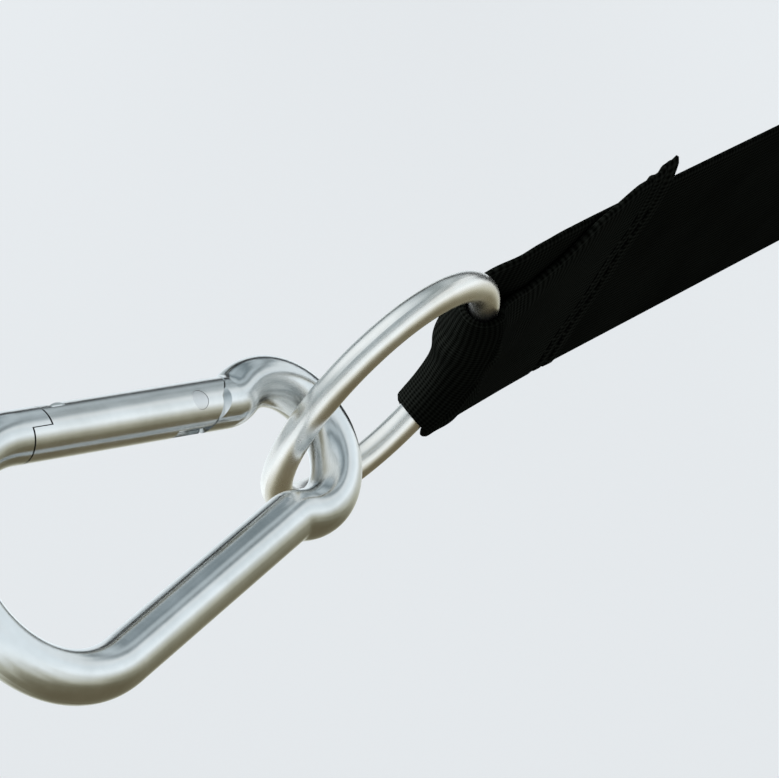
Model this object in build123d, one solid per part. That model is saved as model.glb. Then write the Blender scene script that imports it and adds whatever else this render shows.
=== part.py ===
from build123d import *
import os
from math import cos, radians, sin, sqrt, tan

# Belt swing seat: a flexible moulded belt carried by one strip of 45 mm webbing.
# The strip runs under the belt, rises at both ends, folds round a welded steel ring
# and is lapped back and sewn.  Each ring carries a pear shaped snap hook.
# Millimetres.  X runs from riser to riser, Y from back to front, Z up.
# The origin is under the middle of the belt, on the lowest face of the webbing.

# Belt
BELT_LENGTH = 660.0
BELT_WIDTH = 140.0
BELT_THICKNESS = 8.0
BELT_SAG_RADIUS = 200.0
BELT_ARC = 70.0
BELT_CORNER_RADIUS = 30.0
BEAD_WIDTH = 9.0
BEAD_THICKNESS = 11.0

# Webbing
WEB_WIDTH = 45.0
WEB_THICKNESS = 1.5
WEB_BELT_GAP = 0.15
WEB_FREE_RUN = 15.0
WEB_TURN_RADIUS = 60.0
LAP_END_DROP = 60.0
LOOP_HALF_WIDTH = 16.0
LOOP_ARC = 34.0
LOOP_CAVITY_HALF = 3.7
LOOP_LEG_LENGTH = 16.0

# Ring
RING_WIRE = 5.0
RING_RADIUS = 22.5
RING_HEIGHT = 425.0
RING_SHIFT = 1.0

# Snap hook, drawn in its own plane: h from gate to spine, v up, m across the plane
ROD = 8.0
HOOK_YAW = -22.0
EYE_RADIUS = 10.9
EYE_SHIFT = 0.5
EYE_BEND_RADIUS = 6.0
EYE_RING_GAP = 0.4
GATE_ANGLE = 11.5
GATE_OFFSET = 8.2
SPINE_ANGLE = 8.5
SPINE_OFFSET = 9.5
BOW_RADIUS = 18.0

# Gate and its works, along the gate from the rivet
RIVET_RISE = 15.0
RIVET_DIAMETER = 3.0
RUNNING_GAP = 0.05
GATE_END_RADIUS = 4.6
SEAT_BEVEL = 1.3
GATE_LIP = 8.2
OUTER_SEAM = 30.1
INNER_SEAM = 34.2
SEAM_GAP = 0.3
TONGUE_THICKNESS = 3.0
TONGUE_HALF = 3.0
TONGUE_TOP = 2.6
SLOT_GAP = 0.3
LATCH_BOTTOM = 25.8
LATCH_NECK = 2.4
LATCH_HEAD = 5.2
LATCH_HEAD_LENGTH = 2.0
BORE = 4.0
BORE_END = 24.0
PLUNGER_DIAMETER = 3.7
PLUNGER_LENGTH = 6.0
PLUNGER_TAIL = 4.0
PLUNGER_GAP = 0.15
SPRING_WIRE = 0.5
SPRING_MEAN = 3.0
SPRING_TURNS = 8

# Belt end fastening
PLATE_LENGTH = 34.0
PLATE_WIDTH = 56.0
PLATE_THICKNESS = 2.5
PLATE_FROM_END = 30.0
BOLT_ALONG = 9.0
BOLT_ACROSS = 14.0
SEAT_RIVET_DIAMETER = 5.0
HEAD_DIAMETER = 10.0
HEAD_HEIGHT = 2.2
WASHER_DIAMETER = 14.0
WASHER_THICKNESS = 1.5

# Stitching
STITCH_LENGTH = 2.8
STITCH_PITCH = 4.0
STITCH_WIDTH = 0.8
STITCH_PROUD = 0.4
STITCH_ROWS = (2.4, 5.4)
STITCHES_PER_ROW = 10

# Places worked out from the sizes above
WEB_RADIUS = BELT_SAG_RADIUS + BELT_THICKNESS / 2 + WEB_BELT_GAP + WEB_THICKNESS / 2
ARC_CENTER_Z = WEB_RADIUS + WEB_THICKNESS / 2
BELT_STRAIGHT = BELT_LENGTH / 2 - BELT_SAG_RADIUS * radians(BELT_ARC)
WEB_STRAIGHT = BELT_STRAIGHT + WEB_FREE_RUN
HEADING = (cos(radians(BELT_ARC)), sin(radians(BELT_ARC)))
INWARD = (-HEADING[1], HEADING[0])


def along_belt(distance, radius):
    """Point on the straight end run, at a distance past the arc, on the layer of that radius."""
    x = radius * sin(radians(BELT_ARC)) + distance * HEADING[0]
    z = ARC_CENTER_Z - radius * cos(radians(BELT_ARC)) + distance * HEADING[1]
    return (x, 0, z)


turn_start = along_belt(WEB_STRAIGHT, WEB_RADIUS)
TURN_CENTER = (turn_start[0] + WEB_TURN_RADIUS * INWARD[0], turn_start[2] + WEB_TURN_RADIUS * INWARD[1])
RISER_X = TURN_CENTER[0] + WEB_TURN_RADIUS
RING_X = RISER_X + RING_SHIFT
RING_TOP = RING_HEIGHT + RING_RADIUS
RING_BOTTOM = RING_HEIGHT - RING_RADIUS
EYE_HEIGHT = RING_TOP - ROD / 2 - RING_WIRE / 2 - EYE_RING_GAP + EYE_RADIUS
LAP_END = RING_HEIGHT - LAP_END_DROP

parts = {}


def block(x0, x1, y0, y1, z0, z1):
    """Box between two corners."""
    return Pos((x0 + x1) / 2, (y0 + y1) / 2, (z0 + z1) / 2) * Box(x1 - x0, y1 - y0, z1 - z0)


def xz_prism(points, width):
    """Closed outline in the XZ plane, thickened equally both ways along Y."""
    outline = Polyline([(x, 0, z) for x, z in points], close=True)
    return extrude(make_face(outline), amount=width / 2, dir=(0, 1, 0), both=True)


def add_pair(name, right):
    """Store a right hand piece and its mirror image on the left."""
    parts[name + "_right"] = right
    parts[name + "_left"] = mirror(right, about=Plane.YZ)


# Belt and webbing run


def half_run(radius, straight):
    """Half of a layer's line: the sagging arc and the straight end run."""
    start = (0, 0, ARC_CENTER_Z - radius)
    middle_angle = radians(BELT_ARC / 2)
    middle = (radius * sin(middle_angle), 0, ARC_CENTER_Z - radius * cos(middle_angle))
    end = along_belt(0, radius)
    return [ThreePointArc(start, middle, end), Line(end, along_belt(straight, radius))]


def turn_to_riser(radius_change, top):
    """Arc that turns the webbing upright, and the riser above it."""
    radius = WEB_TURN_RADIUS + radius_change
    half_angle = radians((90 - BELT_ARC) / 2)
    cx, cz = TURN_CENTER
    start = along_belt(WEB_STRAIGHT, WEB_RADIUS + radius_change)
    middle = (cx + radius * cos(half_angle), 0, cz - radius * sin(half_angle))
    end = (cx + radius, 0, cz)
    return [ThreePointArc(start, middle, end), Line(end, (cx + radius, 0, top))]


def layer(inner, outer, cap_a, cap_b, width):
    """Solid between two lines of the same layer, mirrored to the other half."""
    face = make_face(inner + outer + [Line(cap_a[0], cap_a[1]), Line(cap_b[0], cap_b[1])])
    half = extrude(face, amount=width / 2, dir=(0, 1, 0), both=True)
    return half + mirror(half, about=Plane.YZ)


def belt_layer(thickness, width, straight):
    inner_radius = BELT_SAG_RADIUS - thickness / 2
    outer_radius = BELT_SAG_RADIUS + thickness / 2
    inner = half_run(inner_radius, straight)
    outer = half_run(outer_radius, straight)
    bottom = ((0, 0, ARC_CENTER_Z - inner_radius), (0, 0, ARC_CENTER_Z - outer_radius))
    end = (along_belt(straight, inner_radius), along_belt(straight, outer_radius))
    return layer(inner, outer, bottom, end, width)


# The belt's middle, a flat end piece with two rounded corners at each end, and a bead on both edges.
end_frame = Plane(origin=along_belt(BELT_STRAIGHT, BELT_SAG_RADIUS), x_dir=(HEADING[0], 0, HEADING[1]),
                  z_dir=(INWARD[0], 0, INWARD[1]))
end_length = BELT_CORNER_RADIUS + 10
belt_end = Pos(-end_length / 2, 0, 0) * Box(end_length, BELT_WIDTH, BELT_THICKNESS)
belt_end = fillet(belt_end.edges().filter_by(Axis.Z).group_by(Axis.X)[-1], BELT_CORNER_RADIUS)
belt_end = end_frame * belt_end
belt = belt_layer(BELT_THICKNESS, BELT_WIDTH, BELT_STRAIGHT - end_length)
belt += belt_end
belt += mirror(belt_end, about=Plane.YZ)
bead = belt_layer(BEAD_THICKNESS, BEAD_WIDTH, BELT_STRAIGHT - BELT_CORNER_RADIUS - 1)
for side in (-1, 1):
    belt += Pos(0, side * (BELT_WIDTH - BEAD_WIDTH) / 2, 0) * bead

# Webbing: under the belt, up both risers, and the fold round each ring.
half_web = WEB_THICKNESS / 2
riser_top = RING_BOTTOM - 22
inner_line = half_run(WEB_RADIUS - half_web, WEB_STRAIGHT) + turn_to_riser(-half_web, riser_top)
outer_line = half_run(WEB_RADIUS + half_web, WEB_STRAIGHT) + turn_to_riser(half_web, riser_top)
bottom_cap = ((0, 0, 2 * half_web), (0, 0, 0))
top_cap = ((RISER_X - half_web, 0, riser_top), (RISER_X + half_web, 0, riser_top))
webbing = layer(inner_line, outer_line, bottom_cap, top_cap, WEB_WIDTH)


def fold_round_ring():
    """Arched fold that follows the ring's lower arc, with its two legs closing to a lap."""
    t = WEB_THICKNESS
    cavity = LOOP_CAVITY_HALF
    rise = RING_WIRE / 2 + SEAM_GAP
    ring_line = RING_BOTTOM
    outer = Pos(0, 0, ring_line) * Rot(90, 0, 0) * Ellipse(cavity + t, rise + t)
    inner = Pos(0, 0, ring_line) * Rot(90, 0, 0) * Ellipse(cavity, rise)
    upper = Pos(0, 0, ring_line + 10) * Rot(90, 0, 0) * Rectangle(40, 20)
    section = (outer - inner) & upper
    for side in (-1, 1):
        leg = Pos(side * (cavity + t / 2), 0, ring_line - 1.5) * Rot(90, 0, 0) * Rectangle(t, 3.2)
        section += leg
    axis = Axis((0, 0, RING_HEIGHT), (1, 0, 0))
    arch = revolve(section, axis=axis, revolution_arc=2 * LOOP_ARC)
    arch = Pos(0, 0, RING_HEIGHT) * Rot(-LOOP_ARC, 0, 0) * Pos(0, 0, -RING_HEIGHT) * arch

    back_x = (-t - RING_SHIFT + half_web, -RING_SHIFT + half_web)
    front_x = (back_x[1], back_x[1] + t)
    leg_top = ring_line + 0.6
    close_z = ring_line - LOOP_LEG_LENGTH
    back = xz_prism([(-cavity - t, leg_top), (-cavity, leg_top), (back_x[1], close_z),
                     (back_x[1], riser_top - 6), (back_x[0], riser_top - 6), (back_x[0], close_z)],
                    WEB_WIDTH)
    front = xz_prism([(cavity + t, leg_top), (cavity, leg_top), (front_x[0], close_z),
                      (front_x[0], LAP_END), (front_x[1], LAP_END), (front_x[1], close_z)],
                     WEB_WIDTH)
    full = WEB_WIDTH / 2
    narrow = LOOP_HALF_WIDTH

    def taper(flare_z):
        line = Polyline([(0, -narrow, leg_top + 1), (0, narrow, leg_top + 1), (0, narrow, leg_top - 2),
                         (0, full + 0.01, flare_z), (0, full + 0.01, LAP_END - 40),
                         (0, -full - 0.01, LAP_END - 40), (0, -full - 0.01, flare_z),
                         (0, -narrow, leg_top - 2)], close=True)
        return extrude(make_face(line), amount=20, dir=(1, 0, 0), both=True)

    back &= taper(ring_line - 9)
    front &= taper(ring_line - 20)
    return Pos(RING_X, 0, 0) * (arch + back + front)


fold = fold_round_ring()
webbing = webbing + fold + mirror(fold, about=Plane.YZ)

# Plates, rivets and washers that clamp belt and webbing together at each end.
plate_center = along_belt(BELT_STRAIGHT - PLATE_FROM_END, BELT_SAG_RADIUS)
plate_frame = Plane(origin=plate_center, x_dir=end_frame.x_dir, z_dir=end_frame.z_dir)
belt_face = BELT_THICKNESS / 2
web_face = -(belt_face + WEB_BELT_GAP + WEB_THICKNESS)
plate = Pos(0, 0, belt_face + PLATE_THICKNESS / 2) * Box(PLATE_LENGTH, PLATE_WIDTH, PLATE_THICKNESS)
plate = fillet(plate.edges().filter_by(Axis.Z), 6)
bolt_places = [(a * BOLT_ALONG, b * BOLT_ACROSS) for a in (-1, 1) for b in (-1, 1)]


def upright(radius, z0, z1):
    """Cylinder on the local Z axis between two heights."""
    return Pos(0, 0, (z0 + z1) / 2) * Cylinder(radius, z1 - z0)


def dome(z_base, height, up):
    """Rounded rivet head on a flat face."""
    cap_radius = ((HEAD_DIAMETER / 2) ** 2 + height ** 2) / (2 * height)
    ball = Pos(0, 0, z_base + up * (height - cap_radius)) * Sphere(cap_radius)
    keep = Pos(0, 0, z_base + up * height / 2) * Box(2 * HEAD_DIAMETER, 2 * HEAD_DIAMETER, height)
    return ball & keep


plate_top = belt_face + PLATE_THICKNESS
washer_face = web_face - WASHER_THICKNESS
rivet = upright(SEAT_RIVET_DIAMETER / 2, washer_face, plate_top)
rivet = rivet + dome(plate_top, HEAD_HEIGHT, 1) + dome(washer_face, HEAD_HEIGHT, -1)
washer = upright(WASHER_DIAMETER / 2, washer_face, web_face)
washer -= upright(SEAT_RIVET_DIAMETER / 2, washer_face - 1, web_face + 1)
hole = upright(SEAT_RIVET_DIAMETER / 2, web_face - 3, plate_top + 3)
rivets = []
washers = []
for a, b in bolt_places:
    place = plate_frame * Pos(a, b, 0)
    plate -= Pos(a, b, 0) * hole
    for piece, group in ((rivet, rivets), (washer, washers)):
        placed = place * piece
        group.append(placed)
        group.append(mirror(placed, about=Plane.YZ))
    drilled = place * hole
    belt -= drilled
    belt -= mirror(drilled, about=Plane.YZ)
    webbing -= drilled
    webbing -= mirror(drilled, about=Plane.YZ)
parts["belt"] = belt
parts["webbing"] = webbing
parts["belt_rivets"] = Compound(children=rivets)
parts["belt_washers"] = Compound(children=washers)
add_pair("belt_plate", plate_frame * plate)

# Stitch rows through both layers of the lap, seen on the front and the back face.
stitches = []
front_face = RISER_X + half_web + WEB_THICKNESS
back_face = RISER_X - half_web
for row in STITCH_ROWS:
    for number in range(STITCHES_PER_ROW):
        y = (number - (STITCHES_PER_ROW - 1) / 2) * STITCH_PITCH
        z = LAP_END + row
        y0, y1 = y - STITCH_LENGTH / 2, y + STITCH_LENGTH / 2
        z0, z1 = z - STITCH_WIDTH / 2, z + STITCH_WIDTH / 2
        stitches.append(block(front_face, front_face + STITCH_PROUD, y0, y1, z0, z1))
        stitches.append(block(back_face - STITCH_PROUD, back_face, y0, y1, z0, z1))
stitching = Compound(children=stitches)
add_pair("lap_stitching", stitching)

# Ring
add_pair("ring", Pos(RING_X, 0, RING_HEIGHT) * Rot(0, 90, 0) * Torus(RING_RADIUS, RING_WIRE / 2))


# Snap hook in its own plane


def side_line(side):
    """A point and the upward and outward directions of the gate line (-1) or the spine line (+1)."""
    angle, offset = (GATE_ANGLE, GATE_OFFSET) if side < 0 else (SPINE_ANGLE, SPINE_OFFSET)
    up = (side * sin(radians(angle)), cos(radians(angle)))
    out = (side * cos(radians(angle)), -sin(radians(angle)))
    return (side * offset, 0.0), up, out


def shoulder(side):
    """Reverse bend between the round eye and a straight side: its centre and both its ends."""
    start, up, out = side_line(side)
    r = EYE_BEND_RADIUS
    dx = start[0] + r * out[0] - EYE_SHIFT
    dz = start[1] + r * out[1]
    b = dx * up[0] + dz * up[1]
    c = dx * dx + dz * dz - (EYE_RADIUS + r) ** 2
    run = -b + sqrt(b * b - c)
    center = (start[0] + r * out[0] + run * up[0], start[1] + r * out[1] + run * up[1])
    on_line = (center[0] - r * out[0], center[1] - r * out[1])
    share = EYE_RADIUS / (EYE_RADIUS + r)
    on_eye = (EYE_SHIFT + (center[0] - EYE_SHIFT) * share, center[1] * share)
    return center, on_eye, on_line


def middle_of_arc(center, a, b):
    """Point halfway along the shorter arc about a centre between two points on it."""
    mx, mz = (a[0] + b[0]) / 2 - center[0], (a[1] + b[1]) / 2 - center[1]
    radius = sqrt((a[0] - center[0]) ** 2 + (a[1] - center[1]) ** 2)
    scale = radius / sqrt(mx * mx + mz * mz)
    return (center[0] + mx * scale, center[1] + mz * scale)


def flat(point):
    return (point[0], 0, point[1])


gate_start, gate_up, gate_out = side_line(-1)
spine_start, spine_up, spine_out = side_line(1)
half_taper = radians((GATE_ANGLE + SPINE_ANGLE) / 2)
lean = radians((SPINE_ANGLE - GATE_ANGLE) / 2)
apex_v = -(GATE_OFFSET + SPINE_OFFSET) / (tan(radians(GATE_ANGLE)) + tan(radians(SPINE_ANGLE)))
apex_h = SPINE_OFFSET + apex_v * tan(radians(SPINE_ANGLE))
apex_run = BOW_RADIUS / sin(half_taper)
bow_center = (apex_h + apex_run * sin(lean), apex_v + apex_run * cos(lean))
bow_gate = (bow_center[0] + BOW_RADIUS * gate_out[0], bow_center[1] + BOW_RADIUS * gate_out[1])
bow_spine = (bow_center[0] + BOW_RADIUS * spine_out[0], bow_center[1] + BOW_RADIUS * spine_out[1])
bow_top = (bow_center[0] + BOW_RADIUS * sin(lean), bow_center[1] + BOW_RADIUS * cos(lean))

rivet_run = RIVET_RISE / gate_up[1]
rivet_point = (gate_start[0] + rivet_run * gate_up[0], RIVET_RISE)
gate_frame = Pos(rivet_point[0], 0, rivet_point[1]) * Rot(0, -GATE_ANGLE, 0)


def on_gate(run):
    """Point on the gate's centre line at a run from the rivet."""
    return (rivet_point[0] + run * gate_up[0], rivet_point[1] + run * gate_up[1])


gate_bend, eye_gate, line_gate = shoulder(-1)
spine_bend, eye_spine, line_spine = shoulder(1)
eye_bottom = (EYE_SHIFT, -EYE_RADIUS)
hinge_end = on_gate(-2)
nose_end = on_gate(OUTER_SEAM + SEAM_GAP)
rod_path = Wire([
    Line(flat(hinge_end), flat(line_gate)),
    ThreePointArc(flat(line_gate), flat(middle_of_arc(gate_bend, line_gate, eye_gate)), flat(eye_gate)),
    ThreePointArc(flat(eye_gate), flat(eye_bottom), flat(eye_spine)),
    ThreePointArc(flat(eye_spine), flat(middle_of_arc(spine_bend, eye_spine, line_spine)), flat(line_spine)),
    Line(flat(line_spine), flat(bow_spine)),
    ThreePointArc(flat(bow_spine), flat(bow_top), flat(bow_gate)),
    Line(flat(bow_gate), flat(nose_end)),
])
rod_section = Plane(origin=rod_path @ 0, z_dir=rod_path % 0) * Circle(ROD / 2)
rod = sweep(rod_section, path=rod_path)

half_rod = ROD / 2
wide = ROD + 4
across = Rot(90, 0, 0)

# Hinge end of the body: a round seat cut clear of the gate's end and bevelled towards both faces,
# with a tongue inside the gate's fork.
seat_radius = GATE_END_RADIUS + SEAM_GAP
bevel_start = half_rod - SEAT_BEVEL - 0.3
bevel_height = half_rod + 0.5 - bevel_start
flare = Pos(0, 0, bevel_start + bevel_height / 2) * Cone(seat_radius, seat_radius + bevel_height, bevel_height)
gate_end_room = across * (Cylinder(seat_radius, wide) + flare + mirror(flare, about=Plane.XY))
lip_end = -GATE_LIP - SEAM_GAP
lip_room = xz_prism([(-half_rod - 2, 0), (-half_rod - 2, lip_end), (-half_rod, lip_end),
                     (0, -GATE_END_RADIUS - SEAM_GAP), (0, 0)], wide)
tongue = xz_prism([(-TONGUE_HALF, -GATE_LIP - 2), (-TONGUE_HALF, 0.9), (-1.7, TONGUE_TOP),
                   (TONGUE_HALF, TONGUE_TOP), (TONGUE_HALF, -GATE_LIP - 2)], TONGUE_THICKNESS)
pin_hole = across * Cylinder(RIVET_DIAMETER / 2, wide)

# Nose of the body: the outer half laps over the gate's end, with a T shaped latch below it.
lap_cut = block(0, wide, -wide, wide, OUTER_SEAM - 1, INNER_SEAM)
latch_neck = block(-TONGUE_HALF, 0.8, -LATCH_NECK / 2, LATCH_NECK / 2, LATCH_BOTTOM, OUTER_SEAM + 1)
latch_head = block(-TONGUE_HALF, 0.8, -LATCH_HEAD / 2, LATCH_HEAD / 2, LATCH_BOTTOM,
                   LATCH_BOTTOM + LATCH_HEAD_LENGTH)
hook_body = rod - gate_frame * (gate_end_room + lip_room) + gate_frame * (tongue - pin_hole)
hook_body = hook_body - gate_frame * lap_cut + gate_frame * (latch_neck + latch_head)

# Gate: a round bar, forked at the rivet, bored for its spring and slotted for the latch.
bar = upright(half_rod, -GATE_LIP, INNER_SEAM - SEAM_GAP)
below = block(-wide, wide, -wide, wide, -wide, 0)
end_shape = across * Cylinder(GATE_END_RADIUS, wide)
end_shape += xz_prism([(-half_rod - 1, 0), (-half_rod - 1, -GATE_LIP), (-half_rod, -GATE_LIP),
                       (0, -GATE_END_RADIUS), (0, 0)], wide)
gate = bar - (below - end_shape)
fork_half = TONGUE_THICKNESS / 2 + SLOT_GAP / 2
gate -= block(-TONGUE_HALF - SLOT_GAP, wide, -fork_half, fork_half, -wide, TONGUE_TOP + 1.6)
gate -= upright(BORE / 2, 0, BORE_END)
gate -= across * Cylinder(RIVET_DIAMETER / 2 + RUNNING_GAP, wide)
gate -= block(-wide, SEAM_GAP / 2, -wide, wide, OUTER_SEAM, wide * 4)
gap = SLOT_GAP
gate -= block(-wide, 0.8 + gap, -LATCH_NECK / 2 - gap, LATCH_NECK / 2 + gap, LATCH_BOTTOM, wide * 4)
gate -= block(-wide, 0.8 + gap, -LATCH_HEAD / 2 - gap, LATCH_HEAD / 2 + gap, LATCH_BOTTOM - gap - 0.1,
              LATCH_BOTTOM + LATCH_HEAD_LENGTH + gap + 0.1)

# Gate rivet, ground flush with the round bar.
gate_rivet = across * Cylinder(RIVET_DIAMETER / 2, ROD) & upright(half_rod - 0.05, -half_rod, half_rod)

plunger_tip = TONGUE_TOP + PLUNGER_GAP
plunger = upright(PLUNGER_DIAMETER / 2, plunger_tip, plunger_tip + PLUNGER_LENGTH)
plunger += upright(0.95, plunger_tip + PLUNGER_LENGTH, plunger_tip + PLUNGER_LENGTH + PLUNGER_TAIL)

spring_start = plunger_tip + PLUNGER_LENGTH + SPRING_WIRE / 2 + 0.1
spring_length = BORE_END - SPRING_WIRE / 2 - 0.1 - spring_start
coil = Helix(pitch=spring_length / SPRING_TURNS, height=spring_length, radius=SPRING_MEAN / 2)
coil_section = Plane(origin=coil @ 0, z_dir=coil % 0) * Circle(SPRING_WIRE / 2)
spring = Pos(0, 0, spring_start) * sweep(coil_section, path=coil, is_frenet=True)

hook_place = Pos(RING_X, 0, EYE_HEIGHT) * Rot(0, 0, HOOK_YAW)
add_pair("hook_body", hook_place * hook_body)
for name, piece in (("gate", gate), ("gate_rivet", gate_rivet), ("spring_plunger", plunger),
                    ("gate_spring", spring)):
    add_pair(name, hook_place * gate_frame * piece)

os.makedirs("parts", exist_ok=True)
for name, shape in parts.items():
    export_step(shape, f"parts/{name}.step")
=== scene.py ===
import bpy
import math
from mathutils import Matrix, Vector


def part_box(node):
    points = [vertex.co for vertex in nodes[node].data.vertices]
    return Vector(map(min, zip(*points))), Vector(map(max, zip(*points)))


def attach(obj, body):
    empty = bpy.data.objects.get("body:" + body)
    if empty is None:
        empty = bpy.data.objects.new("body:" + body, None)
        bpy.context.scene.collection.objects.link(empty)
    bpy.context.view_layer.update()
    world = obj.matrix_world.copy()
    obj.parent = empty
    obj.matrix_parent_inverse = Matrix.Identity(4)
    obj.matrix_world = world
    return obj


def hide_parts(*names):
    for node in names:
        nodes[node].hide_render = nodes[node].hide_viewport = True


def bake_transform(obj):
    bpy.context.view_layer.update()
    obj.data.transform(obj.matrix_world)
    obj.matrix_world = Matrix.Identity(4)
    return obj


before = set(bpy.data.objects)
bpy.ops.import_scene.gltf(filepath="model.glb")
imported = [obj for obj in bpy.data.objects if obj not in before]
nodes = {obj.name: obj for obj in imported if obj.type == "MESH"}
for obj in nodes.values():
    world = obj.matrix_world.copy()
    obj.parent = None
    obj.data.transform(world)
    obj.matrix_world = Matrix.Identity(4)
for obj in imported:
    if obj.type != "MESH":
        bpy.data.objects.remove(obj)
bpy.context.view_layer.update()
scene = bpy.context.scene
MM = 0.001

# Centre of the right ring, in metres.
box_low, box_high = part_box("ring_right")
RING = (box_low + box_high) / 2

# Soft parts, in millimetres. Heights on the webbing are measured from the ring's centre.
WEB_HALF = 22.5
WEB_THICK = 1.5
WIRE_CENTRE = 22.5
WIRE = 2.5
FOLD_ARC = math.radians(34.5)
BACK_X = -1.0
LAP_X = 0.53
SAG = 200.0
SAG_ARC = math.radians(70)
BELT_HALF = 330.0
BELT_CORNER = 30
BELT_INNER_WIDTH = 40
RUN_RADIUS = 204.9
ARC_Z = 205.65
RUN_STRAIGHT = 100.65
TURN_RADIUS = 60.0


# ---------- camera ------------------------

RIGHT = Vector((0.689712, 0.437007, -0.577341))
UP = Vector((-0.675082, 0.676426, -0.294469))
TOWARD = Vector((0.261843, 0.592852, 0.761555))
DISTANCE = 0.6


def add_object(name, data):
    obj = bpy.data.objects.new(name, data)
    scene.collection.objects.link(obj)
    return obj


camera_data = bpy.data.cameras.new("camera")
camera_data.lens = 176.66
camera_data.sensor_width = 36
camera_data.clip_start = 0.01
camera = add_object("camera", camera_data)
turn = Matrix((RIGHT, UP, TOWARD)).transposed().to_4x4()
turn.translation = RING + 0.001261 * RIGHT + 0.00068 * UP + DISTANCE * TOWARD
camera.matrix_world = turn
scene.camera = camera
scene.view_settings.view_transform = "Standard"


# ---------- node helpers ----------

class Nodes:
    """Short calls for building a node tree."""

    def __init__(self, tree):
        self.tree = tree

    def add(self, kind, **inputs):
        node = self.tree.nodes.new(kind)
        for key, value in inputs.items():
            self.put(node, key.replace("_", " "), value)
        return node

    def put(self, node, key, value):
        socket = node.inputs[int(key[1:])] if key[0] == "i" and key[1:].isdigit() else node.inputs[key]
        if isinstance(value, bpy.types.NodeSocket):
            self.tree.links.new(value, socket)
        else:
            socket.default_value = value

    def math(self, operation, a, b=0.0):
        node = self.tree.nodes.new("ShaderNodeMath")
        node.operation = operation
        self.put(node, "i0", a)
        self.put(node, "i1", b)
        return node.outputs[0]

    def noise(self, vector, scale, detail=3.0, rough=0.5):
        node = self.add("ShaderNodeTexNoise", Vector=vector, Scale=scale, Detail=detail, Roughness=rough)
        return node.outputs["Fac"]

    def ramp(self, fac, stops):
        node = self.add("ShaderNodeValToRGB", Fac=fac)
        line = node.color_ramp
        for element, (place, color) in ((line.elements[0], stops[0]), (line.elements[1], stops[-1])):
            element.position = place
            element.color = (*color, 1)
        for place, color in stops[1:-1]:
            line.elements.new(place).color = (*color, 1)
        return node.outputs["Color"]

    def span(self, fac, low, high):
        node = self.add("ShaderNodeMapRange", Value=fac)
        node.inputs["To Min"].default_value = low
        node.inputs["To Max"].default_value = high
        return node.outputs[0]

    def stretched(self, vector, scale):
        node = self.add("ShaderNodeMapping", Vector=vector)
        node.inputs["Scale"].default_value = scale
        return node.outputs[0]

    def bump(self, height, strength, distance, normal=None):
        node = self.add("ShaderNodeBump", Height=height, Strength=strength, Distance=distance)
        if normal is not None:
            self.put(node, "Normal", normal)
        return node.outputs[0]


def new_material(name):
    material = bpy.data.materials.new(name)
    material.use_nodes = True
    return Nodes(material.node_tree), material.node_tree.nodes["Principled BSDF"], material


def zinc(name, light, dark, rough_low, rough_high, wave):
    """Bright zinc plate: soft waves, fine scuffs and dull patches over bare metal."""
    n, shader, material = new_material(name)
    place = n.add("ShaderNodeTexCoord").outputs["Object"]
    patch = n.noise(place, 90.0, 4.0, 0.6)
    speck = n.noise(place, 900.0, 3.0, 0.7)
    scuff = n.noise(n.stretched(place, (260.0, 900.0, 2600.0)), 1.0, 2.0, 0.6)
    n.put(shader, "Base Color", n.ramp(patch, [(0.3, dark), (0.7, light)]))
    rough = n.math("ADD", n.span(patch, rough_low, rough_high), n.span(speck, -0.03, 0.05))
    n.put(shader, "Roughness", rough)
    waves = n.bump(n.noise(place, 55.0, 2.0, 0.4), wave, 0.0006)
    marks = n.bump(scuff, 0.05, 0.00008, waves)
    n.put(shader, "Normal", n.bump(speck, 0.08, 0.00006, marks))
    shader.inputs["Metallic"].default_value = 1.0
    return material


def fabric(name, low, high, pitch, depth, fold_at):
    """Black plain weave on the strip's own coordinates, with dark gaps, fuzz and faded patches."""
    n, shader, material = new_material(name)
    cloth = n.add("ShaderNodeUVMap").outputs["UV"]
    place = n.add("ShaderNodeTexCoord").outputs["Object"]
    split = n.add("ShaderNodeSeparateXYZ", Vector=cloth)
    shift = n.span(n.noise(place, 500.0, 2.0, 0.5), -0.5, 0.5)
    turn_scale = 2 * math.pi / pitch
    along = n.math("COSINE", n.math("ADD", n.math("MULTIPLY", split.outputs[0], turn_scale), shift))
    across = n.math("COSINE", n.math("ADD", n.math("MULTIPLY", split.outputs[1], turn_scale), shift))
    weave = n.span(n.math("ADD", along, across), 0.0, 1.0)
    weave.node.inputs["From Min"].default_value = -2.0
    weave.node.inputs["From Max"].default_value = 2.0
    worn = n.noise(place, 60.0, 3.0, 0.6)
    fuzz = n.noise(place, 2600.0, 2.0, 0.7)
    tone = n.math("MULTIPLY", n.math("POWER", weave, 0.9), n.span(worn, 0.55, 1.25))
    tone = n.math("ADD", tone, n.span(fuzz, -0.12, 0.12))
    # Painted light and shade round the wire: the lighter band is a painted sheen where the strip turns,
    # the darker band next to it is a painted crease shadow, and the lap after the turn is a little
    # lighter than the strip before it.
    place_along = n.math("MULTIPLY", n.math("SUBTRACT", split.outputs[0], fold_at - 0.03), 1 / 0.06)
    fold_sheen_and_crease_shade = n.ramp(place_along, [(0.30, (0.46, 0.46, 0.46)), (0.38, (1.0, 1.0, 1.0)),
                                  (0.49, (1.0, 1.0, 1.0)), (0.54, (0.42, 0.42, 0.42)),
                                  (0.60, (0.34, 0.34, 0.34)), (0.70, (0.62, 0.62, 0.62))])
    tone = n.math("MULTIPLY", tone, fold_sheen_and_crease_shade)
    n.put(shader, "Base Color", n.ramp(tone, [(0.05, low), (0.95, high)]))
    n.put(shader, "Roughness", n.span(worn, 0.72, 0.92))
    rib = n.bump(weave, 0.9, depth)
    n.put(shader, "Normal", n.bump(fuzz, 0.35, 0.0001, rib))
    shader.inputs["Specular IOR Level"].default_value = 0.0
    return material


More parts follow.
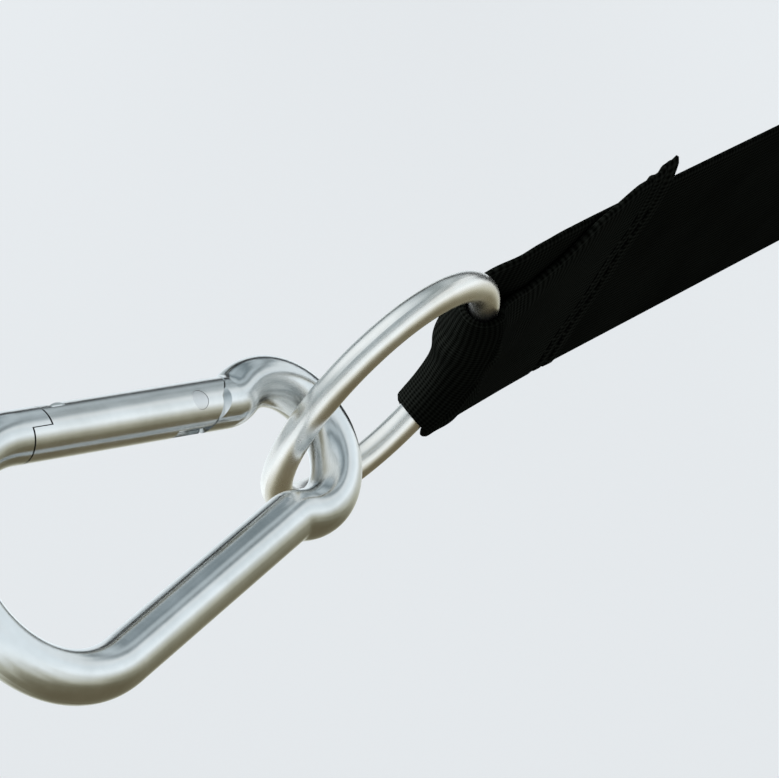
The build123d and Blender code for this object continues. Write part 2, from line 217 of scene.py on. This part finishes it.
def rubber(name):
    """Moulded belt rubber with shallow ribs along the belt, fine grain and scuffs."""
    n, shader, material = new_material(name)
    cloth = n.add("ShaderNodeUVMap").outputs["UV"]
    place = n.add("ShaderNodeTexCoord").outputs["Object"]
    split = n.add("ShaderNodeSeparateXYZ", Vector=cloth)
    rib = n.math("SINE", n.math("MULTIPLY", split.outputs[1], 2 * math.pi / 0.005))
    rib = n.math("POWER", n.span(rib, 0.0, 1.0), 0.4)
    grain = n.noise(place, 1500.0, 3.0, 0.6)
    scuff = n.noise(place, 26.0, 5.0, 0.65)
    tone = n.ramp(scuff, [(0.35, (0.012, 0.012, 0.013)), (0.75, (0.034, 0.034, 0.035))])
    n.put(shader, "Base Color", tone)
    n.put(shader, "Roughness", n.span(scuff, 0.42, 0.7))
    ribs = n.bump(rib, 0.45, 0.0004)
    n.put(shader, "Normal", n.bump(grain, 0.4, 0.0002, ribs))
    return material


steel_hook = zinc("zinc_hook", (0.78, 0.80, 0.81), (0.62, 0.64, 0.64), 0.10, 0.24, 0.35)
steel_gate = zinc("zinc_gate", (0.79, 0.80, 0.80), (0.64, 0.65, 0.64), 0.12, 0.26, 0.3)
steel_ring = zinc("zinc_ring", (0.95, 0.94, 0.92), (0.80, 0.77, 0.72), 0.18, 0.34, 0.5)
steel_plate = zinc("zinc_plate", (0.72, 0.73, 0.74), (0.56, 0.57, 0.57), 0.22, 0.4, 0.2)
# The rivet zinc is darker than the gate's: painted shade that dulls the bright reflection on the rivets'
# flat ends.
steel_rivet = zinc("zinc_rivet", (0.74, 0.75, 0.76), (0.55, 0.56, 0.56), 0.2, 0.38, 0.2)
steel_spring = zinc("spring_steel", (0.6, 0.61, 0.62), (0.45, 0.46, 0.47), 0.25, 0.4, 0.1)
web_cloth = fabric("black_webbing", (0.0008, 0.0009, 0.0006), (0.0165, 0.018, 0.0155),
                   pitch=0.00095, depth=0.00022, fold_at=0.531)
thread_cloth = fabric("black_thread", (0.0005, 0.0005, 0.0005), (0.002, 0.002, 0.002),
                      pitch=0.0004, depth=0.0001, fold_at=0.0)
belt_rubber = rubber("belt_rubber")

cad_material = {
    "ring": steel_ring, "hook_body": steel_hook, "gate": steel_gate, "gate_rivet": steel_rivet,
    "gate_spring": steel_spring, "spring_plunger": steel_rivet, "belt_plate": steel_plate,
    "belt_rivets": steel_rivet, "belt_washers": steel_plate,
}
for name, node in nodes.items():
    stem = name.replace("_right", "").replace("_left", "")
    if stem in cad_material:
        node.data.materials.clear()
        node.data.materials.append(cad_material[stem])


# ---------- mesh helpers ----------

def closed_strip(name, centre_rows, half_thickness, uv_rows, material, mirror_x):
    """Closed sheet of cloth from rows of middle points, with rounded selvedges."""
    rows, cols = len(centre_rows), len(centre_rows[0])
    verts = []
    for side in (1, -1):
        for i in range(rows):
            for j in range(cols):
                a = centre_rows[max(i - 1, 0)][j]
                b = centre_rows[min(i + 1, rows - 1)][j]
                c = centre_rows[i][max(j - 1, 0)]
                d = centre_rows[i][min(j + 1, cols - 1)]
                normal = (b - a).cross(d - c).normalized()
                edge = abs(2 * j / (cols - 1) - 1)
                share = math.sqrt(max(1 - edge ** 24, 0.0)) * 0.75 + 0.25
                verts.append(centre_rows[i][j] + side * half_thickness * share * normal)
    faces = []
    uvs = []
    block = rows * cols

    def quad(corners, swap):
        corners = corners[::-1] if swap else corners
        faces.append([k + block * s for k, s in corners])
        uvs.append([uv_rows[k // cols][k % cols] for k, s in corners])

    for i in range(rows - 1):
        for j in range(cols - 1):
            p = i * cols + j
            q = p + cols
            quad([(p, 0), (q, 0), (q + 1, 0), (p + 1, 0)], False)
            quad([(p, 1), (q, 1), (q + 1, 1), (p + 1, 1)], True)
        for j, swap in ((0, False), (cols - 1, True)):
            p = i * cols + j
            q = p + cols
            quad([(p, 0), (p, 1), (q, 1), (q, 0)], swap)
    for j in range(cols - 1):
        for i, swap in ((0, True), (rows - 1, False)):
            p = i * cols + j
            quad([(p, 0), (p, 1), (p + 1, 1), (p + 1, 0)], swap)
    if mirror_x:
        verts = [Vector((-v.x, v.y, v.z)) for v in verts]
        faces = [f[::-1] for f in faces]
        uvs = [u[::-1] for u in uvs]
    return mesh_object(name, verts, faces, uvs, material)


def mesh_object(name, verts, faces, uvs, material):
    mesh = bpy.data.meshes.new(name)
    mesh.from_pydata([tuple(v) for v in verts], [], faces)
    mesh.polygons.foreach_set("use_smooth", [True] * len(faces))
    layer = mesh.uv_layers.new(name="UVMap")
    flat = [value for face in uvs for corner in face for value in corner]
    layer.data.foreach_set("uv", flat)
    mesh.materials.append(material)
    mesh.update()
    return add_object(name, mesh)


# ---------- webbing ----------

COLUMNS = 64
SHARES = [2 * j / COLUMNS - 1 for j in range(COLUMNS + 1)]
RUN_STEPS = 110
RISER_STEPS = 40
BACK_STEPS = 280
FOLD_STEPS = 40
FRONT_STEPS = 160
BACK_START = -110
LAP_OUTER_EDGE = ((18, 12.9), (25, 11.0), (31, 12.0), (37, 15.8), (45, 24.0), (52, 28.4), (60, 29.6))
ROW_INSET = 2.4
ROW_GAP = 3.0
STITCHES = 11
STITCH_START = -16.5
STITCH_SPAN = 37
STITCH_HALF_LENGTH = 1.35
THREAD_RADIUS = 0.36
STITCH_SIDES = 8


def fade(distance, reach):
    return math.exp(-(distance / reach) ** 2)


def lumps(along, across):
    """Uneven puckers of a stiff strip gathered on a round wire."""
    value = math.sin(across * 7.3 + along * 0.33) + 0.6 * math.sin(across * 12.1 - along * 0.47 + 1.3)
    return value + 0.5 * math.sin(across * 4.1 + along * 0.9 + 2.2)


def smooth_curve(value, knots):
    """Line through a few places, eased between them and constant outside them."""
    if value <= knots[0][0]:
        return knots[0][1]
    for (a, low), (b, high) in zip(knots, knots[1:]):
        if value <= b:
            t = (value - a) / (b - a)
            return low + (high - low) * t * t * (3 - 2 * t) * 0.4 + (high - low) * t * 0.6
    return knots[-1][1]


def lap_edges(drop):
    """Both edges of the lapped layer, gathered at the ring and flaring to a skewed end."""
    low = 6.6 * math.exp(-(drop - 18) / 5) - 22.2 + 0.055 * drop
    return low, smooth_curve(drop, LAP_OUTER_EDGE)


def lap_end(share):
    """Height of the lap's cut end, which hangs a little unevenly."""
    return -62.2 + 0.35 * math.sin(share * 9) + 1.7 * max(0.0, share) ** 6


def stitch_line(share, row):
    return lap_end(share) + ROW_INSET + ROW_GAP * row


def scallop(z):
    """Small waves of the selvedge, one for each weft thread."""
    return 0.16 * math.cos(2 * math.pi * z / 1.3)


def wire_top(share, front=0.0):
    """Middle of the wire under the fold; the front of the fold spreads further down the ring."""
    angle = share * (FOLD_ARC + math.radians(2.0) * front * max(0.0, -share))
    return math.sin(angle) * WIRE_CENTRE, -math.cos(angle) * WIRE_CENTRE


def back_radius(share):
    return 3.3 + 2.2 * fade(share - 0.3, 0.42)


def front_radius(share):
    return 3.3 + 0.9 * (1 - share * share)


def back_point(share, z):
    """Riser's layer behind the ring, drawn in towards the wire."""
    side, top = wire_top(share)
    drop = top - z
    close = math.exp(-drop / (2.4 + 4.4 * max(0.0, -share) + 1.6 * max(0.0, share)))
    y = share * (WEB_HALF - 1.2 * math.exp(-drop / 16) + (scallop(z) if abs(share) == 1 else 0))
    y = y * (1 - close) + side * close
    x = BACK_X + (-back_radius(share) - BACK_X) * fade(drop, 7.0 - 3.2 * max(0.0, share))
    x += 0.16 * lumps(z, share) * fade(drop, 12.0)
    return Vector((x, y, z))


def front_point(share, z):
    """Lapped layer in front of the ring, puckered, dented by the stitches and curled at its end."""
    side, top = wire_top(share, 1.0)
    drop = top - z
    low, high = lap_edges(-z)
    close = math.exp(-drop / 1.6)
    y = low + (high - low) * (share + 1) / 2 + (scallop(z) * share if abs(share) == 1 else 0)
    y = y * (1 - close) + side * close
    reach = 9.0 - 5.0 * max(0.0, share) - 4.0 * max(0.0, -share)
    x = LAP_X + (front_radius(share) - LAP_X) * fade(drop, reach)
    gathered = max(0.0, 1 - (high - low) / (2 * WEB_HALF))
    pucker = lumps(z * 0.6 + 9, share) * 0.5 + 0.5
    x += (0.14 + 1.6 * gathered * (1 - share ** 4)) * pucker * fade(drop, 22.0)
    for row in (0, 1):
        x -= 0.34 * fade(z - stitch_line(share, row), 0.6)
    lip = max(0.0, share - 0.86) / 0.14
    near_end = fade(z - lap_end(share), 3.0)
    y += 1.9 * lip * near_end
    x += (0.25 - 0.7 * lip) * near_end
    return Vector((x, y, z))


def fold_point(share, angle):
    """Strip's half turn round the wire, from the back layer to the front one."""
    mix = (1 - math.cos(angle)) / 2
    side, top = wire_top(share, mix)
    inward = Vector((0, -math.sin(share * FOLD_ARC), math.cos(share * FOLD_ARC)))
    radius = back_radius(share) * (1 - mix) + front_radius(share) * mix
    radius += 0.26 * lumps(angle * 3, share) * math.sin(angle) * fade(share - 0.2, 0.6)
    out = Vector((-math.cos(angle), 0, 0)) + math.sin(angle) * inward
    return Vector((0, side, top)) + max(radius, WIRE + 0.78) * out


def run_point(distance):
    """Point on the strip's middle line, from under the belt's middle to the riser."""
    arc = RUN_RADIUS * SAG_ARC
    if distance < arc:
        angle = distance / RUN_RADIUS
        return RUN_RADIUS * math.sin(angle), ARC_Z - RUN_RADIUS * math.cos(angle)
    extra = min(distance - arc, RUN_STRAIGHT)
    x = RUN_RADIUS * math.sin(SAG_ARC) + extra * math.cos(SAG_ARC)
    z = ARC_Z - RUN_RADIUS * math.cos(SAG_ARC) + extra * math.sin(SAG_ARC)
    if distance <= arc + RUN_STRAIGHT:
        return x, z
    cx = x - TURN_RADIUS * math.sin(SAG_ARC)
    cz = z + TURN_RADIUS * math.cos(SAG_ARC)
    turn_left = math.pi / 2 - SAG_ARC
    angle = SAG_ARC - math.pi / 2 + min((distance - arc - RUN_STRAIGHT) / TURN_RADIUS, turn_left)
    x = cx + TURN_RADIUS * math.cos(angle)
    z = cz + TURN_RADIUS * math.sin(angle)
    return x, z + max(0.0, distance - arc - RUN_STRAIGHT - TURN_RADIUS * turn_left)


RISER_START = RUN_RADIUS * SAG_ARC + RUN_STRAIGHT + TURN_RADIUS * (math.pi / 2 - SAG_ARC)
RING_MM = RING / MM


def stepped(start, end, i, steps):
    return start + (end - start) * i / steps


def webbing_rows():
    """Rows of middle points: under the belt, up the riser, round the wire and down the lap."""
    rows = []
    for i in range(RUN_STEPS + 1):
        x, z = run_point(RISER_START * i / RUN_STEPS)
        rows.append([Vector((x, s * WEB_HALF, z)) for s in SHARES])
    offset = Vector((RING_MM.x, 0, RING_MM.z))
    riser_low = run_point(RISER_START)[1] - RING_MM.z
    for i in range(1, RISER_STEPS + 1):
        z = stepped(riser_low, BACK_START, i, RISER_STEPS)
        rows.append([offset + Vector((BACK_X, s * WEB_HALF, z)) for s in SHARES])
    for i in range(1, BACK_STEPS + 1):
        heights = [stepped(BACK_START, wire_top(s)[1], i, BACK_STEPS) for s in SHARES]
        rows.append([offset + back_point(s, z) for s, z in zip(SHARES, heights)])
    for i in range(1, FOLD_STEPS + 1):
        rows.append([offset + fold_point(s, math.pi * i / FOLD_STEPS) for s in SHARES])
    for i in range(1, FRONT_STEPS + 1):
        heights = [stepped(wire_top(s, 1.0)[1], lap_end(s), i, FRONT_STEPS) for s in SHARES]
        rows.append([offset + front_point(s, z) for s, z in zip(SHARES, heights)])
    return rows


def webbing_half(name, mirror_x):
    """One half of the strip, and its length along the middle in millimetres."""
    rows = webbing_rows()
    middle = COLUMNS // 2
    travelled = 0.0
    uv = []
    for i, row in enumerate(rows):
        travelled += (row[middle] - rows[i - 1][middle]).length if i else 0.0
        uv.append([(travelled * MM, s * WEB_HALF * MM) for s in SHARES])
    rows = [[p * MM for p in row] for row in rows]
    piece = closed_strip(name, rows, WEB_THICK / 2 * MM, uv, web_cloth, mirror_x)
    return piece, travelled


def stitch_points(spot, along, down, out, way):
    """Rings of points for one spindle shaped stitch; way is the side of the cloth it lies on."""
    points = []
    for i in range(STITCH_SIDES + 1):
        t = math.pi * i / STITCH_SIDES
        ring_size = math.sin(t) ** 0.6 * THREAD_RADIUS
        for j in range(STITCH_SIDES):
            a = 2 * math.pi * j / STITCH_SIDES
            round_part = math.cos(a) * down + way * math.sin(a) * out * 0.8
            p = spot + along * (-STITCH_HALF_LENGTH * math.cos(t)) + ring_size * round_part
            points.append((p + Vector((RING_MM.x, 0, RING_MM.z))) * MM)
    return points


def stitch_faces(base):
    faces = []
    for i in range(STITCH_SIDES):
        near = base + i * STITCH_SIDES
        far = near + STITCH_SIDES
        for j in range(STITCH_SIDES):
            n = (j + 1) % STITCH_SIDES
            faces.append([near + j, near + n, far + n, far + j])
    return faces


def threads(name, mirror_x):
    """Stitches of both rows on the lap's front and the riser's back."""
    verts = []
    faces = []
    out = Vector((1, 0, 0))
    low, high = lap_edges(-lap_end(0))
    for row in (0, 1):
        for k in range(STITCHES):
            share = 2 * (STITCH_START + STITCH_SPAN * (k + 0.5) / STITCHES - low) / (high - low) - 1
            z = stitch_line(share, row)
            ahead = front_point(share + 0.03, stitch_line(share + 0.03, row))
            front = front_point(share, z)
            along = (ahead - front).normalized()
            down = along.cross(out).normalized()
            back = Vector((BACK_X - WEB_THICK / 2, front.y, z))
            for spot, way in ((front + out * (WEB_THICK / 2 + 0.02), 1), (back, -1)):
                faces += stitch_faces(len(verts))
                verts += stitch_points(spot, along, down, out, way)
    if mirror_x:
        verts = [Vector((-v.x, v.y, v.z)) for v in verts]
    uvs = [[(verts[k].y, verts[k].z) for k in f] for f in faces]
    return mesh_object(name, verts, faces, uvs, thread_cloth)


for side, flip in (("right", False), ("left", True)):
    half, half_length = webbing_half(f"webbing_{side}_half", flip)
    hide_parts("webbing")
    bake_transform(half)
    sewn = threads(f"lap_thread_{side}", flip)
    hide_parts(f"lap_stitching_{side}")
    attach(sewn, "seat")


# ---------- belt ----------

def belt_profile(half_width, bead):
    """Closed outline across the belt: crowned faces and round beads at both edges."""
    points = []
    shares = [(-1 + 2 * k / 48) for k in range(49)]
    for face in (1, -1):
        for share in (shares if face > 0 else shares[::-1]):
            y = share * half_width
            inset = half_width - abs(y)
            thick = 4.0
            if inset < 13:
                t = min(1.0, max(0.0, (13 - inset) / 5))
                thick += bead * t * t * (3 - 2 * t)
            if inset < 5:
                thick *= math.sqrt(max(0.0, 1 - ((5 - inset) / 5) ** 2)) * 0.96 + 0.04
            points.append((y, face * thick))
    return points


def belt_moulding():
    """Hanging rubber belt with rounded corners, thin rounded ends and fading beads."""
    rows = []
    uvs_rows = []
    steps = 240
    arc = SAG * SAG_ARC
    for i in range(steps + 1):
        s = -BELT_HALF + 2 * BELT_HALF * (0.5 - 0.5 * math.cos(math.pi * i / steps))
        past = max(0.0, abs(s) - (BELT_HALF - BELT_CORNER))
        half_width = BELT_INNER_WIDTH + math.sqrt(max(0.0, BELT_CORNER ** 2 - past ** 2))
        end_thin = math.sqrt(max(0.0, 1 - max(0.0, (abs(s) - BELT_HALF + 3) / 3) ** 2)) * 0.9 + 0.1
        bead = 1.5 * (1 - min(1.0, past / BELT_CORNER) ** 2)
        angle = min(abs(s) / SAG, SAG_ARC)
        extra = max(0.0, abs(s) - arc)
        sign = 1 if s >= 0 else -1
        cx = SAG * math.sin(angle) + extra * math.cos(angle)
        cz = ARC_Z - SAG * math.cos(angle) + extra * math.sin(angle)
        normal = Vector((-sign * math.sin(angle), 0, math.cos(angle)))
        rows.append([Vector((sign * cx, 0, cz)) + Vector((0, y, 0)) + normal * h * end_thin
                     for y, h in belt_profile(half_width, bead)])
        uvs_rows.append([(s * MM, y * MM) for y, h in belt_profile(half_width, bead)])
    count = len(rows[0])
    verts = [p * MM for row in rows for p in row]
    faces = []
    uvs = []
    for i in range(steps):
        for j in range(count):
            n = (j + 1) % count
            faces.append([i * count + j, i * count + n, (i + 1) * count + n, (i + 1) * count + j])
            uvs.append([uvs_rows[i][j], uvs_rows[i][n], uvs_rows[i + 1][n], uvs_rows[i + 1][j]])
    faces.append(list(range(count)))
    uvs.append(list(uvs_rows[0]))
    faces.append([steps * count + j for j in reversed(range(count))])
    uvs.append([uvs_rows[-1][j] for j in reversed(range(count))])
    piece = mesh_object("belt_moulding", verts, faces, uvs, belt_rubber)
    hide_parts("belt")
    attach(piece, "seat")


belt_moulding()


# ---------- floor, world, lights ----------

def add_floor():
    """Pale matt floor that glows a little and stays out of the reflections."""
    n, shader, material = new_material("floor_paint")
    place = n.add("ShaderNodeTexCoord").outputs["Object"]
    tone = n.ramp(n.noise(place, 3.0), [(0.0, (0.24, 0.25, 0.255)), (1.0, (0.25, 0.26, 0.265))])
    n.put(shader, "Base Color", tone)
    shader.inputs["Emission Color"].default_value = (0.540, 0.545, 0.560, 1)
    shader.inputs["Emission Strength"].default_value = 1.0
    shader.inputs["Roughness"].default_value = 0.95
    shader.inputs["Specular IOR Level"].default_value = 0.1
    mesh = bpy.data.meshes.new("floor")
    mesh.from_pydata([(-6, -6, 0), (6, -6, 0), (6, 6, 0), (-6, 6, 0)], [], [(0, 1, 2, 3)])
    mesh.materials.append(material)
    floor = add_object("floor", mesh)
    floor.visible_glossy = False


add_floor()

# Brightness of the surroundings, from below the hook to above it.
SURROUNDINGS = [
    (0.0, (0.15, 0.13, 0.08)), (0.09, (0.19, 0.175, 0.115)), (0.14, (0.30, 0.29, 0.215)),
    (0.18, (0.52, 0.52, 0.42)), (0.27, (0.78, 0.81, 0.78)), (0.36, (1.10, 1.18, 1.22)),
    (0.48, (0.88, 0.97, 1.02)), (0.59, (0.92, 0.97, 0.99)), (0.625, (0.50, 0.57, 0.60)),
    (0.655, (0.19, 0.225, 0.235)), (0.70, (0.62, 0.70, 0.74)), (0.75, (0.50, 0.57, 0.60)),
    (0.80, (0.16, 0.205, 0.225)), (0.88, (0.50, 0.58, 0.62)), (1.0, (0.95, 1.02, 1.06)),
]


def towards(w, look, direction):
    node = w.add("ShaderNodeVectorMath")
    node.operation = "DOT_PRODUCT"
    w.put(node, "i0", look)
    w.put(node, "i1", tuple(direction))
    return node.outputs["Value"]


def add_world():
    """Surroundings in bands across the hook, and one plain colour where the camera sees them."""
    world = bpy.data.worlds.new("studio")
    scene.world = world
    world.use_nodes = True
    w = Nodes(world.node_tree)
    look = w.add("ShaderNodeTexCoord").outputs["Generated"]
    facing = towards(w, look, (UP * 0.88 - RIGHT * 0.47).normalized())
    streak = w.span(w.noise(look, 2.6, 3.0, 0.6), -0.09, 0.09)
    level = w.math("ADD", facing, towards(w, look, TOWARD * 0.35))
    level = w.math("ADD", w.math("MULTIPLY", level, 0.5), 0.5)
    tint = w.ramp(w.math("ADD", level, streak), SURROUNDINGS)
    blend = w.add("ShaderNodeMix")
    blend.data_type = "RGBA"
    w.put(blend, "Factor", w.add("ShaderNodeLightPath").outputs["Is Camera Ray"])
    world.node_tree.links.new(tint, blend.inputs[6])
    blend.inputs[7].default_value = (0.80, 0.835, 0.85, 1)
    backdrop = world.node_tree.nodes["Background"]
    w.put(backdrop, "Color", blend.outputs[2])
    backdrop.inputs["Strength"].default_value = 1.0


add_world()


def softbox(name, offset, energy, size, color):
    """Square lamp facing the ring, kept out of the reflections."""
    data = bpy.data.lights.new(name, "AREA")
    data.energy = energy
    data.size = size
    data.color = color
    lamp = add_object(name, data)
    lamp.location = RING + offset
    lamp.rotation_euler = offset.to_track_quat("Z", "Y").to_euler()
    lamp.visible_glossy = False


softbox("key", 1.3 * (0.85 * UP + 0.4 * TOWARD - 0.55 * RIGHT), 20, 0.7, (0.93, 0.98, 1.0))
softbox("fill", 1.6 * (TOWARD - 0.3 * RIGHT), 5, 1.2, (1.0, 1.0, 1.0))
